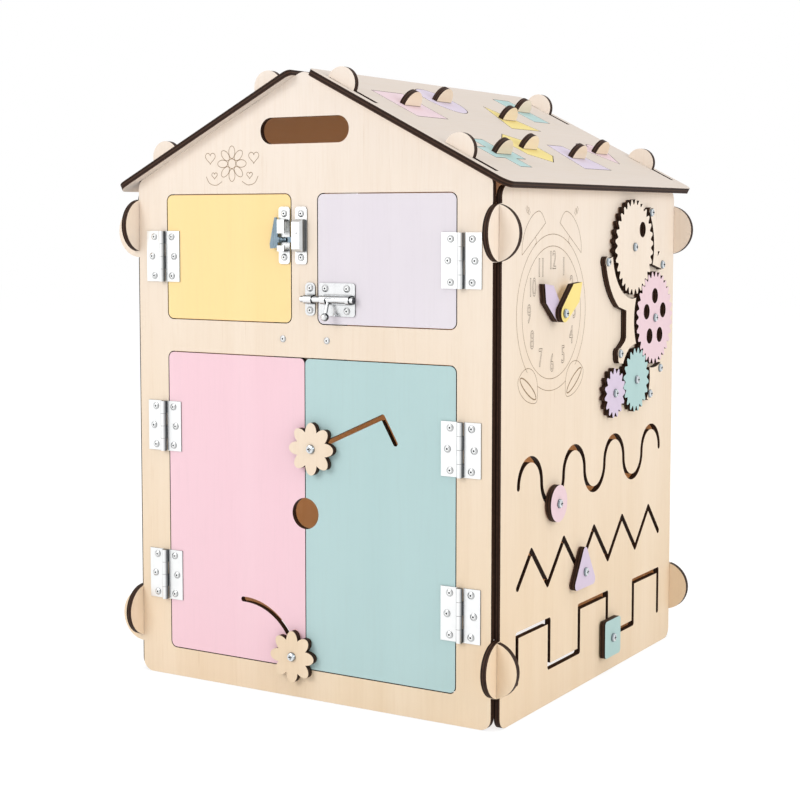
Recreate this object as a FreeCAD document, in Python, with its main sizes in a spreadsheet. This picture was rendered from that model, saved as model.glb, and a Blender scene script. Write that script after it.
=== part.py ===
"""Wooden busy board shaped like a toy house.

Six sheets of birch plywood (two gable walls, two side walls, two roof panels) hold together
with round ears that cross in slots. Doors, windows, latches, gears, clock hands, sliders
and shape-sorter pieces are fitted to them.

Frame: X to the right seen from the front, Y to the back, Z up, origin on the table under the
centre of the house. Lengths are millimetres, angles degrees.
"""
import FreeCAD
import Part
import Sketcher
import math
import os
import re

doc = FreeCAD.newDocument("HouseBoard")

SIZES = {
    # sheets
    "ply": 6.0, "wall_width": 400.0, "side_width": 400.0, "side_height": 489.0, "gable_apex": 597.4,
    "roof_pitch": 27.0, "panel_round": 11.0, "fit_gap": 0.3,
    # corner ears
    "ear_radius": 26.0, "ear_low": 56.2, "ear_high": 446.8, "left_rise": 5.5, "halving_play": 0.25,
    # roof
    "roof_start": 10.5, "roof_end": 245.0, "roof_overhang": 10.0, "roof_round": 11.0, "ridge_round": 6.0,
    "roof_ear_radius": 15.5, "roof_ear_upper": 43.2, "roof_ear_lower": 182.7, "roof_slot_run": 26.0,
    "apex_round": 14.0,
    # openings of the gable wall
    "handle_width": 100.0, "handle_height": 25.0, "handle_centre": 542.0, "handle_round": 12.3,
    "door_half": 164.5, "door_sill": 28.4, "door_head": 328.4, "window_sill": 360.0, "window_head": 483.2,
    "window_post": 29.0, "opening_round": 7.0, "leaf_gap": 1.0, "leaf_split": 1.0, "leaf_round": 6.0,
    "meeting_round": 5.0,
    "finger_radius": 15.0, "finger_centre": 179.5,
    # hinges
    "hinge_tall": 50.0, "hinge_reach": 20.4, "hinge_sheet": 1.0, "barrel_radius": 2.9, "pin_radius": 1.3,
    "pin_inset": 4.6, "pin_forward": 3.1, "knuckle_gap": 0.3, "hinge_row": 11.0, "hinge_middle": 13.7,
    "hinge_row_rise": 19.3, "window_hinge": 422.1, "door_hinge_high": 253.0, "door_hinge_low": 102.7,
    # rivets
    "rivet_radius": 1.6, "rivet_head": 3.3, "rivet_rise": 1.1, "rivet_tail": 2.4, "mandrel_radius": 0.9,
    # pan head screws, washers and nuts
    "screw_radius": 2.0, "screw_head": 4.4, "screw_rise": 2.6, "nut_radius": 3.6, "nut_rise": 3.0,
    "hole_play": 0.3, "washer_radius": 4.5, "stand_off": 1.0,
    # hook latch of the left window
    "latch_height": 54.0, "latch_width": 12.5, "keeper_width": 13.0, "keeper_inset": 5.0,
    "latch_level": 443.5, "latch_rivets": 20.6, "metal_sheet": 1.2,
    # barrel bolt of the right window
    "bolt_width": 40.0, "bolt_height": 31.0, "bolt_rod": 3.0, "bolt_length": 58.5, "bolt_level": 384.0,
    "bolt_throw": 18.0, "bolt_rivets": 10.4, "bolt_forward": 5.0, "strap_wall": 1.2,
    # inside door stop
    "stop_height": 44.0, "stop_level": 345.3, "stop_half": 40.0, "stop_rivet": 25.0,
    # flowers
    "petal_long": 9.8, "petal_wide": 6.4, "flower_ring": 15.2, "flower_hub": 15.0, "path_width": 5.0,
    "flower_up_x": 11.1, "flower_up_z": 242.8, "slide_length": 82.8, "slide_angle": 24.6, "hook_length": 27.5,
    "flower_low_x": -11.8, "flower_low_z": 40.6, "arc_radius": 61.7, "arc_angle": 13.35, "arc_sweep": 78.7,
    # clock hands
    "clock_side": -98.5, "clock_level": 371.5, "hand_hub": 8.3,
    "minute_length": 46.5, "hour_length": 41.0, "hand_width": 10.8,
    # gears
    "gear_module": 3.1, "gear_addendum": 1.9, "gear_dedendum": 3.4, "gear_play": 0.6,
    "flank_angle": 25.0, "pink_side": 133.0, "pink_level": 355.7, "finger_hole": 8.0,
    # gear guards
    "guard_gap": 4.2, "top_guard_gap": 5.4, "guard_width": 12.0,
    # guide slots of the right wall
    "slot_width": 6.0, "wave_pitch": 94.6, "wave_level": 215.5,
    "zigzag_pitch": 69.2, "zigzag_rise": 37.6, "zigzag_level": 134.6,
    "square_pitch": 133.2, "square_rise": 44.2, "square_level": 57.9,
    "slider_disc": 17.6, "slider_side": 38.0, "slider_round": 4.0, "slider_sheet": 6.0, "nut_plate": 8.0,
    # shape sorter
    "sorter_play": 0.9, "knob_radius": 14.5, "backing_sheet": 3.0, "backing_margin": 14.0,
    "backing_start": 24.5, "backing_length": 190.0,
}

sheet = doc.addObject("Spreadsheet::Sheet", "Sizes")
for row, (alias, number) in enumerate(SIZES.items(), start=1):
    sheet.set(f"A{row}", alias)
    sheet.set(f"B{row}", repr(number))
    sheet.setAlias(f"B{row}", alias)
doc.recompute()

PARTS = []


def formula(text):
    """Names the sheet in front of every size used in a formula."""
    return re.sub(r"[a-z_]+", lambda m: "Sizes." + m.group() if m.group() in SIZES else m.group(), str(text))


def number(text):
    """Value of a formula, as a plain number."""
    return float(sheet.evalExpression(formula(text)))


def sized(name):
    """Value of one cell of the sheet."""
    return float(sheet.get(name))


def keep(piece, label):
    """Marks an object as one named part of the product."""
    piece.Label = label
    PARTS.append(piece)
    return piece


# Sketches and solids


def draw_loop(sketch, points):
    """Closed outline of straight lines, every corner tied to its formulas."""
    spots = [FreeCAD.Vector(number(x), number(y), 0) for x, y in points]
    first = sketch.GeometryCount
    count = len(points)
    for index in range(count):
        sketch.addGeometry(Part.LineSegment(spots[index], spots[(index + 1) % count]), False)
    for index in range(count):
        line = first + index
        sketch.addConstraint(Sketcher.Constraint("Coincident", line, 2, first + (index + 1) % count, 1))
        for kind, axis in (("DistanceX", 0), ("DistanceY", 1)):
            value = spots[index][axis]
            tie = sketch.addConstraint(Sketcher.Constraint(kind, -1, 1, line, 1, value))
            sketch.setExpression(f"Constraints[{tie}]", formula(points[index][axis]))


def draw_circle(sketch, x, y, radius):
    """Circle tied to the formulas of its centre and radius."""
    centre = FreeCAD.Vector(number(x), number(y), 0)
    round_edge = Part.Circle(centre, FreeCAD.Vector(0, 0, 1), number(radius))
    line = sketch.addGeometry(round_edge, False)
    for kind, axis, text in (("DistanceX", 0, x), ("DistanceY", 1, y)):
        tie = sketch.addConstraint(Sketcher.Constraint(kind, -1, 1, line, 3, centre[axis]))
        sketch.setExpression(f"Constraints[{tie}]", formula(text))
    tie = sketch.addConstraint(Sketcher.Constraint("Radius", line, number(radius)))
    sketch.setExpression(f"Constraints[{tie}]", formula(radius))


def new_sketch(body, plane, name, loops=(), circles=()):
    """Sketch on one of the body's own origin planes."""
    sketch = body.newObject("Sketcher::SketchObject", name)
    support = [item for item in body.Origin.OriginFeatures if item.Role == plane][0]
    sketch.AttachmentSupport = [(support, "")]
    sketch.MapMode = "FlatFace"
    for points in loops:
        draw_loop(sketch, points)
    for x, y, radius in circles:
        draw_circle(sketch, x, y, radius)
    return sketch


def new_body(name):
    return doc.addObject("PartDesign::Body", name)


def pad(body, sketch, length="ply", flip=False):
    feature = body.newObject("PartDesign::Pad", "Pad")
    feature.Profile = sketch
    feature.setExpression("Length", formula(length))
    feature.Reversed = flip
    sketch.Visibility = False
    doc.recompute()
    return feature


def pocket(body, sketch):
    """Cut through the whole sheet, both ways from the sketch."""
    before = body.Shape.Volume
    feature = body.newObject("PartDesign::Pocket", "Pocket")
    feature.Profile = sketch
    feature.Type = 1
    feature.Midplane = True
    doc.recompute()
    if feature.Shape.isNull() or feature.Shape.Volume >= before:
        raise RuntimeError(f"{body.Name}: a pocket cuts nothing")
    return feature


def round_corners(body, corners, radius, axes):
    """Fillets the edges that stand on the listed corners of a flat sheet."""
    base = body.Tip
    names = []
    for index, edge in enumerate(base.Shape.Edges, start=1):
        ends = [vertex.Point for vertex in edge.Vertexes]
        if len(ends) != 2:
            continue
        flat = [tuple(point[axis] for axis in axes) for point in ends]
        if math.dist(flat[0], flat[1]) > 0.001 or edge.Length < 0.5:
            continue
        if any(math.dist(flat[0], (number(x), number(y))) < 0.01 for x, y in corners):
            names.append(f"Edge{index}")
    feature = body.newObject("PartDesign::Fillet", "Fillet")
    feature.Base = (base, names)
    feature.setExpression("Radius", formula(radius))
    doc.recompute()
    return feature


def rectangle(x_low, x_high, y_low, y_high):
    return [(x_low, y_low), (x_high, y_low), (x_high, y_high), (x_low, y_high)]


def move(item, x="0", y="0", z="0", axis=None, angle="0"):
    """Places an object by formulas."""
    if axis:
        item.Placement = FreeCAD.Placement(FreeCAD.Vector(), FreeCAD.Rotation(FreeCAD.Vector(*axis), 0))
        item.setExpression("Placement.Rotation.Angle", formula(angle))
        for part, value in zip("xyz", axis):
            item.setExpression(f"Placement.Rotation.Axis.{part}", str(value))
    for part, text in zip("xyz", (x, y, z)):
        item.setExpression(f"Placement.Base.{part}", formula(text))
    return item


def box(name, length, width, height, x, y, z):
    item = doc.addObject("Part::Box", name)
    for side, text in (("Length", length), ("Width", width), ("Height", height)):
        item.setExpression(side, formula(text))
    return move(item, x, y, z)


TURNS = {"x": ((0, 1, 0), "90"), "y": ((1, 0, 0), "-90"), "z": (None, "0")}


def rod(name, radius, length, x, y, z, along="z"):
    """Cylinder that starts at a point and runs along +X, +Y or +Z."""
    item = doc.addObject("Part::Cylinder", name)
    item.setExpression("Radius", formula(radius))
    item.setExpression("Height", formula(length))
    axis, angle = TURNS[along]
    return move(item, x, y, z, axis, angle)


def fuse(name, items):
    item = doc.addObject("Part::MultiFuse", name)
    item.Shapes = items
    item.Refine = True
    return item


def cut(name, base, tools):
    item = doc.addObject("Part::Cut", name)
    item.Base = base
    item.Tool = tools[0] if len(tools) == 1 else fuse(name + "Tool", tools)
    return item


def group(name, items):
    """Set of equal pieces that stay separate solids."""
    item = doc.addObject("Part::Compound", name)
    item.Links = items
    return item


def solid_feature(name, shape):
    item = doc.addObject("Part::Feature", name)
    item.Shape = shape
    return item


# Values used by many pieces

PLY = sized("ply")
FRONT = -(sized("side_width") / 2 + PLY)
RIGHT = sized("wall_width") / 2 + PLY
PITCH = math.radians(sized("roof_pitch"))
GAP = sized("fit_gap")
SHEET_OFF = sized("stand_off")
HALF_WALL = "wall_width / 2"
HALF_SIDE = "side_width / 2"
APEX_FALL = "wall_width / 2 * tan(roof_pitch)"


def vec(x, y, z=0.0):
    return FreeCAD.Vector(x, y, z)


def on_slope(along, out):
    """Formulas of a point on the right slope: along it from the ridge, and out from it."""
    x = f"(({along}) * cos(roof_pitch) + ({out}) * sin(roof_pitch))"
    z = f"(gable_apex - ({along}) * sin(roof_pitch) + ({out}) * cos(roof_pitch))"
    return x, z


def mirrored(points):
    return [(f"-({x})", z) for x, z in points]


# Fixing holes of the front wall, as (x, z) numbers

LEAF_EDGE = sized("door_half")
HINGES = []
for side in (-1, 1):
    for level in ("window_hinge", "door_hinge_high", "door_hinge_low"):
        HINGES.append((side, side * (LEAF_EDGE + sized("pin_inset")), sized(level)))


def hinge_spots(pin_x, level, side):
    """Rivet centres of the hinge leaf on one side of the pin."""
    near = pin_x + side * sized("hinge_row")
    far = pin_x + side * sized("hinge_middle")
    rise = sized("hinge_row_rise")
    return [(near, level + rise), (far, level), (near, level - rise)]


FRAME_SPOTS = [spot for side, pin_x, level in HINGES for spot in hinge_spots(pin_x, level, side)]
LEAF_SPOTS = [hinge_spots(pin_x, level, -side) for side, pin_x, level in HINGES]
LATCH_Z = sized("latch_level")
LATCH_RISE = sized("latch_rivets")
LATCH_X = -sized("window_post") / 2 - sized("leaf_gap") - sized("latch_width") / 2 - 0.5
KEEPER_X = -sized("window_post") / 2 + sized("keeper_inset") + sized("keeper_width") / 2
KEEPER_SPOTS = [(KEEPER_X, LATCH_Z + LATCH_RISE), (KEEPER_X, LATCH_Z - LATCH_RISE)]
LATCH_SPOTS = [(LATCH_X, LATCH_Z + LATCH_RISE), (LATCH_X, LATCH_Z - LATCH_RISE)]
BOLT_Z = sized("bolt_level")
BOLT_X = sized("window_post") / 2 + sized("leaf_gap") + 1.6
BOLT_ROW = sized("bolt_rivets")
BOLT_SPOTS = [(BOLT_X + 7.0, BOLT_Z + BOLT_ROW), (BOLT_X + 31.0, BOLT_Z + BOLT_ROW),
              (BOLT_X + 31.0, BOLT_Z - BOLT_ROW)]
BOLT_KEEPER_SPOTS = [(7.0, BOLT_Z + BOLT_ROW), (7.0, BOLT_Z - BOLT_ROW)]
STOP_SPOTS = [(-sized("stop_rivet"), sized("stop_level")), (sized("stop_rivet"), sized("stop_level"))]
RIVET_HOLE = str(sized("rivet_radius") + 0.15)
SCREW_HOLE = "screw_radius + hole_play"


# Gable walls


def gable_outline():
    return [(f"-{HALF_WALL}", "0"), (HALF_WALL, "0"), (HALF_WALL, f"gable_apex - {APEX_FALL}"),
            ("0", "gable_apex"), (f"-{HALF_WALL}", f"gable_apex - {APEX_FALL}")]


def gable_wall(label, place_y, openings, spots):
    """Wall with a gable, four corner ears and four roof ears."""
    body = new_body(label)
    handle = rectangle("-handle_width / 2", "handle_width / 2",
                       "handle_centre - handle_height / 2", "handle_centre + handle_height / 2")
    loops = [gable_outline(), handle] + openings
    pad(body, new_sketch(body, "XZ_Plane", "Outline", loops))
    round_corners(body, [(f"{sign}{HALF_WALL}", "0") for sign in ("", "-")]
                  + [(f"{sign}{HALF_WALL}", f"gable_apex - {APEX_FALL}") for sign in ("", "-")],
                  "panel_round", (0, 2))
    round_corners(body, [("0", "gable_apex")], "apex_round", (0, 2))
    round_corners(body, handle, "handle_round", (0, 2))
    for opening in openings:
        round_corners(body, opening, "opening_round", (0, 2))
    ears = [(sign + HALF_WALL, level, "ear_radius") for sign in ("", "-") for level in ("ear_low", "ear_high")]
    for along in ("roof_ear_upper", "roof_ear_lower"):
        x, z = on_slope(along, "ply + fit_gap")
        ears += [(x, z, "roof_ear_radius"), (f"-({x})", z, "roof_ear_radius")]
    pad(body, new_sketch(body, "XZ_Plane", "Ears", [], ears))
    slots = []
    for level in ("ear_low", "ear_high"):
        slots.append(rectangle(f"{HALF_WALL} - halving_play", f"{HALF_WALL} + ply + halving_play",
                               level, f"{level} + ear_radius + 1"))
        slots.append(rectangle(f"-{HALF_WALL} - ply - halving_play", f"-{HALF_WALL} + halving_play",
                               f"{level} + left_rise / 2", f"{level} + ear_radius + 1"))
    for along in ("roof_ear_upper", "roof_ear_lower"):
        hook = [on_slope(f"{along} - roof_ear_radius - 1", "0"), on_slope(along, "0"),
                on_slope(along, "ply + fit_gap"), on_slope(f"{along} - roof_ear_radius - 1", "ply + fit_gap")]
        slots += [hook, mirrored(hook)]
    circles = [(str(x), str(z), RIVET_HOLE) for x, z in spots]
    pocket(body, new_sketch(body, "XZ_Plane", "SlotsAndHoles", slots, circles))
    return keep(move(body, y=place_y), label)


DOOR_OPENING = rectangle("-door_half", "door_half", "door_sill", "door_head")
LEFT_WINDOW = rectangle("-door_half", "-window_post / 2", "window_sill", "window_head")
RIGHT_WINDOW = rectangle("window_post / 2", "door_half", "window_sill", "window_head")
gable_wall("front_panel", f"-{HALF_SIDE}", [DOOR_OPENING, LEFT_WINDOW, RIGHT_WINDOW],
           FRAME_SPOTS + KEEPER_SPOTS + BOLT_KEEPER_SPOTS + STOP_SPOTS)
gable_wall("back_panel", f"{HALF_SIDE} + ply", [], [])


# Side walls


def ribbon(points, width):
    """Flat slot shape of a given width round a path of lines and arcs."""
    edges = []
    for step in points:
        if len(step) == 2:
            edges.append(Part.LineSegment(vec(*step[0]), vec(*step[1])).toShape())
        else:
            edges.append(Part.Arc(vec(*step[0]), vec(*step[1]), vec(*step[2])).toShape())
    pieces = []
    for edge in edges:
        start, end = edge.Vertexes[0].Point, edge.Vertexes[-1].Point
        if len(edge.Vertexes) and edge.Curve.TypeId == "Part::GeomLine":
            along = (end - start).normalize()
            side = vec(-along.y, along.x) * (width / 2)
            corners = [start + side, end + side, end - side, start - side, start + side]
            pieces.append(Part.Face(Part.makePolygon(corners)))
        else:
            centre = edge.Curve.Center
            outer = Part.Face(Part.Wire(Part.Circle(centre, vec(0, 0, 1), edge.Curve.Radius + width / 2).toShape()))
            inner = Part.Face(Part.Wire(Part.Circle(centre, vec(0, 0, 1), edge.Curve.Radius - width / 2).toShape()))
            ring = outer.cut(inner)
            middle = edge.valueAt((edge.FirstParameter + edge.LastParameter) / 2)
            reach = edge.Curve.Radius * 3
            first, last, mid = start - centre, end - centre, middle - centre
            fan = [centre, centre + first * 3, centre + first + mid * 3, centre + mid * 3,
                   centre + last + mid * 3, centre + last * 3, centre]
            pieces.append(ring.common(Part.Face(Part.makePolygon(fan))))
        for point in (start, end):
            pieces.append(Part.Face(Part.Wire(Part.Circle(point, vec(0, 0, 1), width / 2).toShape())))
    whole = pieces[0].multiFuse(pieces[1:]).removeSplitter()
    return whole


def plate(face, thickness):
    return face.extrude(vec(0, 0, thickness))


def shifted(face, spot):
    moved = face.copy()
    moved.translate(vec(*spot))
    return moved


def to_side(shape, off):
    """Turns a shape drawn in (y, z) with height off the wall onto the right wall's face."""
    turn = FreeCAD.Matrix(0, 0, 1, RIGHT + off, 1, 0, 0, 0, 0, 1, 0, 0, 0, 0, 0, 1)
    placed = shape.copy()
    placed.transformShape(turn, True)
    return placed


def to_front(shape, off):
    """Turns a shape drawn in (x, z) with height off the wall onto the front wall's face."""
    turn = FreeCAD.Matrix(1, 0, 0, 0, 0, 0, -1, FRONT - off, 0, 1, 0, 0, 0, 0, 0, 1)
    placed = shape.copy()
    placed.transformShape(turn, True)
    return placed


WAVE_R = sized("wave_pitch") / 4
WAVE_Z = sized("wave_level")
WAVE_START = -7 * WAVE_R


def wave_path():
    steps = []
    for index in range(7):
        left = WAVE_START + index * 2 * WAVE_R
        rise = WAVE_R if index % 2 == 0 else -WAVE_R
        steps.append(((left, WAVE_Z), (left + WAVE_R, WAVE_Z + rise), (left + 2 * WAVE_R, WAVE_Z)))
    return steps


ZIG = sized("zigzag_pitch") / 2
ZIG_HALF = sized("zigzag_rise") / 2
ZIG_Z = sized("zigzag_level")


def zigzag_path():
    peaks = [(index * ZIG, ZIG_Z + (ZIG_HALF if index % 2 == 0 else -ZIG_HALF)) for index in range(-4, 5)]
    tail = 0.8
    start = (-4 * ZIG - tail * ZIG, ZIG_Z + ZIG_HALF - tail * 2 * ZIG_HALF)
    end = (4 * ZIG + tail * ZIG, start[1])
    stops = [start] + peaks + [end]
    return list(zip(stops[:-1], stops[1:]))


SQUARE = sized("square_pitch") / 2
SQUARE_LOW = sized("square_level") - sized("square_rise") / 2
SQUARE_HIGH = sized("square_level") + sized("square_rise") / 2


def square_path():
    stops = []
    for index in range(6):
        side = (index - 2.5) * SQUARE
        up = index % 2 == 0
        stops += [(side, SQUARE_LOW), (side, SQUARE_HIGH)] if up else [(side, SQUARE_HIGH), (side, SQUARE_LOW)]
    return list(zip(stops[:-1], stops[1:]))


# Gears of the right wall: name, teeth, centre

MODULE = sized("gear_module")
TEETH = {"gear_pink": 30, "gear_cream": 30, "gear_teal": 20, "gear_lilac": 15}


def pitch_radius(name):
    return MODULE * TEETH[name] / 2


def beside(centre, first, second, direction):
    """Centre of a gear that meshes with another, seen in a direction in degrees."""
    reach = pitch_radius(first) + pitch_radius(second)
    turn = math.radians(direction)
    return centre[0] + reach * math.cos(turn), centre[1] + reach * math.sin(turn)


CREAM_WAY, TEAL_WAY, LILAC_WAY = 126.5, 232.6, 189.7
GEAR_CENTRE = {"gear_pink": (sized("pink_side"), sized("pink_level"))}
GEAR_CENTRE["gear_cream"] = beside(GEAR_CENTRE["gear_pink"], "gear_pink", "gear_cream", CREAM_WAY)
GEAR_CENTRE["gear_teal"] = beside(GEAR_CENTRE["gear_pink"], "gear_pink", "gear_teal", TEAL_WAY)
GEAR_CENTRE["gear_lilac"] = beside(GEAR_CENTRE["gear_teal"], "gear_teal", "gear_lilac", LILAC_WAY)
CLOCK = (sized("clock_side"), sized("clock_level"))

TIP = {name: pitch_radius(name) + sized("gear_addendum") for name in TEETH}


def polar(centre, radius, degrees):
    turn = math.radians(degrees)
    return centre[0] + radius * math.cos(turn), centre[1] + radius * math.sin(turn)


CREAM, PINK, TEAL, LILAC = (GEAR_CENTRE[n] for n in ("gear_cream", "gear_pink", "gear_teal", "gear_lilac"))
TOP_GUARD = [(122.9, 465.8), (154.0, 410.8)]
LEFT_GUARD = [(14.1, 416.6), (46.3, 323.6)]
LOW_GUARD = [(151.1, 301.3), (124.0, 276.2)]
GUARD_SPOTS = TOP_GUARD + LEFT_GUARD + LOW_GUARD


def side_wall(label, place_x, rise, spots):
    """Side wall with four corner ears that cross the gable walls' ears."""
    body = new_body(label)
    outline = rectangle(f"-{HALF_SIDE}", HALF_SIDE, "0", "side_height")
    circles = [(str(y), str(z), SCREW_HOLE) for y, z in spots]
    pad(body, new_sketch(body, "YZ_Plane", "Outline", [outline], circles))
    round_corners(body, outline, "panel_round", (1, 2))
    ears = [(sign + HALF_SIDE, f"{level} + {rise}", "ear_radius")
            for sign in ("", "-") for level in ("ear_low", "ear_high")]
    pad(body, new_sketch(body, "YZ_Plane", "Ears", [], ears))
    slots = []
    for level in ("ear_low", "ear_high"):
        ends = (f"{level} - ear_radius - 1", f"{level} + {rise} / 2")
        slots.append(rectangle(f"{HALF_SIDE} - halving_play", f"{HALF_SIDE} + ply + halving_play", *ends))
        slots.append(rectangle(f"-{HALF_SIDE} - ply - halving_play", f"-{HALF_SIDE} + halving_play", *ends))
    pocket(body, new_sketch(body, "YZ_Plane", "Slots", slots))
    return move(body, x=place_x)


keep(side_wall("left_panel", f"-{HALF_WALL} - ply", "left_rise", []), "left_panel")
right_board = side_wall("RightBoard", HALF_WALL, "0", list(GEAR_CENTRE.values()) + [CLOCK] + GUARD_SPOTS)
WIDTH = sized("slot_width")
tracks = [plate(ribbon(path, WIDTH), 3 * PLY) for path in (wave_path(), zigzag_path(), square_path())]
guide_slots = solid_feature("GuideSlots", to_side(Part.makeCompound(tracks), -2 * PLY))
right_cut = cut("RightWall", right_board, [guide_slots])
keep(right_cut, "right_panel")


# Roof panels

SORTER_SPOTS = {"sorter_square": (79.0, 71.0), "sorter_disc": (58.0, 164.0), "sorter_triangle": (90.0, 251.0),
                "sorter_bar": (60.0, 336.0), "sorter_cross": (182.0, 82.0), "sorter_hexagon": (165.0, 166.0),
                "sorter_trapezium": (180.0, 249.0), "sorter_heart": (163.0, 338.0)}
ROOF_BACK = sized("side_width") / 2 + PLY + sized("roof_overhang")


def ngon(centre, radius, count, turn=0.0):
    points = [polar(centre, radius, turn + 360.0 * index / count) for index in range(count)]
    return Part.Face(Part.makePolygon([vec(*point) for point in points + points[:1]]))


def polygon(centre, points):
    spots = [vec(centre[0] + x, centre[1] + y) for x, y in points]
    return Part.Face(Part.makePolygon(spots + spots[:1]))


def disc(centre, radius):
    return Part.Face(Part.Wire(Part.Circle(vec(*centre), vec(0, 0, 1), radius).toShape()))


def heart(centre, lobe, spread, back, tip):
    """Heart with its tip down the slope, of two round lobes and two tangent sides."""
    reach = math.hypot(tip + back, spread)
    turn = math.atan2(spread, -(tip + back)) - math.asin(lobe / reach)
    side = math.sqrt(reach ** 2 - lobe ** 2)
    touch = (tip + side * math.cos(turn), side * math.sin(turn))
    notch = -back - math.sqrt(lobe ** 2 - spread ** 2)
    top = polar((-back, spread), lobe, 130)

    def spot(point, sign=1):
        return vec(centre[0] + point[0], centre[1] + sign * point[1])

    edges = [Part.LineSegment(spot((tip, 0)), spot(touch)), Part.Arc(spot(touch), spot(top), spot((notch, 0))),
             Part.Arc(spot((notch, 0)), spot(top, -1), spot(touch, -1)), Part.LineSegment(spot(touch, -1), spot((tip, 0)))]
    return Part.Face(Part.Wire([edge.toShape() for edge in edges]))


def cross(centre, reach, arm):
    quarter = [(reach, -arm), (reach, arm), (arm, arm)]
    points = []
    for _ in range(4):
        points += quarter
        quarter = [(-y, x) for x, y in quarter]
    return polygon(centre, points)


def sorter_face(name, play):
    """Outline of one sorter piece, grown by the play for its hole, in (along slope, y)."""
    along, depth = SORTER_SPOTS[name]
    spot = (along, depth + FRONT)
    if name == "sorter_square":
        face = polygon(spot, [(-28, -28), (28, -28), (28, 28), (-28, 28)])
    elif name == "sorter_disc":
        face = disc(spot, 28)
    elif name == "sorter_triangle":
        face = polygon(spot, [(-30, 0), (25, -32), (25, 32)])
    elif name == "sorter_bar":
        face = polygon(spot, [(-28, -18), (28, -18), (28, 18), (-28, 18)])
    elif name == "sorter_cross":
        face = cross(spot, 29, 11)
    elif name == "sorter_hexagon":
        face = ngon(spot, 31, 6, 0)
    elif name == "sorter_trapezium":
        face = polygon(spot, [(-27, -17), (27, -31), (27, 31), (-27, 17)])
    else:
        face = heart(spot, 13.5, 12.5, 8.0, 26.0)
    if not play:
        return face
    return Part.Face(face.OuterWire.makeOffset2D(play, 2))


ROOF_TURN = FreeCAD.Placement(vec(0, 0, sized("gable_apex")), FreeCAD.Rotation(vec(0, 1, 0), sized("roof_pitch")))


def on_roof(shape):
    """Puts a shape drawn flat, x down the slope, on the right slope of the gables."""
    placed = shape.copy()
    placed.Placement = ROOF_TURN.multiply(placed.Placement)
    return placed


def roof_body(name):
    body = new_body(name)
    half = f"{HALF_SIDE} + ply + roof_overhang"
    outline = rectangle("roof_start", "roof_end", f"-({half})", half)
    slots = []
    for ear in ("roof_ear_upper", "roof_ear_lower"):
        low, high = f"{ear} - fit_gap", f"{ear} + roof_ear_radius + roof_slot_run"
        slots.append(rectangle(low, high, f"-{HALF_SIDE} - ply - fit_gap", f"-{HALF_SIDE} + fit_gap"))
        slots.append(rectangle(low, high, f"{HALF_SIDE} - fit_gap", f"{HALF_SIDE} + ply + fit_gap"))
    pad(body, new_sketch(body, "XY_Plane", "Outline", [outline] + slots))
    round_corners(body, [outline[1], outline[2]], "roof_round", (0, 1))
    round_corners(body, [outline[0], outline[3]], "ridge_round", (0, 1))
    return body


left_roof = roof_body("roof_left")
left_roof.Placement = FreeCAD.Placement(vec(0, 0, 0), FreeCAD.Rotation(vec(0, 0, 1), 180)).multiply(ROOF_TURN)
keep(left_roof, "roof_left")
right_roof = roof_body("RightRoof")
right_roof.Placement = ROOF_TURN
PLAY = sized("sorter_play")
holes = [plate(sorter_face(name, PLAY), PLY + 2) for name in SORTER_SPOTS]
hole_tool = Part.makeCompound(holes)
hole_tool.translate(vec(0, 0, -1))
keep(cut("RoofRight", right_roof, [solid_feature("SorterHoles", on_roof(hole_tool))]), "roof_right")
MARGIN = sized("backing_margin")
backing = Part.makeBox(sized("backing_length"), sized("side_width") - 2 * MARGIN, sized("backing_sheet"),
                       vec(sized("backing_start"), -sized("side_width") / 2 + MARGIN, -sized("backing_sheet")))
keep(solid_feature("SorterBacking", on_roof(backing)), "sorter_backing")

for name in SORTER_SPOTS:
    along, depth = SORTER_SPOTS[name]
    base = plate(sorter_face(name, 0), PLY)
    grip = Part.Face(Part.Wire(Part.Circle(vec(0, 0), vec(0, 0, 1), sized("knob_radius")).toShape()))
    grip = grip.common(Part.Face(Part.makePolygon([vec(-40, 0), vec(40, 0), vec(40, 40), vec(-40, 40), vec(-40, 0)])))
    grip = plate(grip, PLY)
    grip.transformShape(FreeCAD.Matrix(0, 0, 1, along - PLY / 2, 1, 0, 0, depth + FRONT, 0, 1, 0, PLY,
                                       0, 0, 0, 1), True)
    piece = Part.makeCompound([base, grip])
    keep(solid_feature(name, on_roof(piece)), name)


# Doors and windows


def leaf(label, outline, rounded, meeting, spots, tools):
    """Door or window leaf that lies flush in its opening."""
    body = new_body(label + "_board")
    circles = [(str(x), str(z), RIVET_HOLE) for x, z in spots]
    pad(body, new_sketch(body, "XZ_Plane", "Outline", [outline], circles))
    round_corners(body, rounded, "leaf_round", (0, 2))
    if meeting:
        round_corners(body, meeting, "meeting_round", (0, 2))
    move(body, y=f"-{HALF_SIDE}")
    if not tools:
        return keep(body, label)
    tool = solid_feature(label + "_cuts", Part.makeCompound(tools))
    return keep(cut(label + "_cut", body, [tool]), label)


DOOR_LOW, DOOR_HIGH = "door_sill + leaf_gap", "door_head - leaf_gap"
DEEP = 3 * PLY
PATH = sized("path_width")
FINGER_SPOT = (0, sized("finger_centre"))
FLOWER_UP = (sized("flower_up_x"), sized("flower_up_z"))
FLOWER_LOW = (sized("flower_low_x"), sized("flower_low_z"))
SLIDE_TURN = math.radians(sized("slide_angle"))
SLIDE_END = (FLOWER_UP[0] + sized("slide_length") * math.cos(SLIDE_TURN),
             FLOWER_UP[1] + sized("slide_length") * math.sin(SLIDE_TURN))
HOOK_END = polar(SLIDE_END, sized("hook_length"), -60)
ARC_R = sized("arc_radius")
ARC_START = sized("arc_angle")
ARC_CENTRE = (FLOWER_LOW[0] - ARC_R * math.cos(math.radians(ARC_START)),
              FLOWER_LOW[1] - ARC_R * math.sin(math.radians(ARC_START)))
ARC_SWEEP = sized("arc_sweep")
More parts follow.
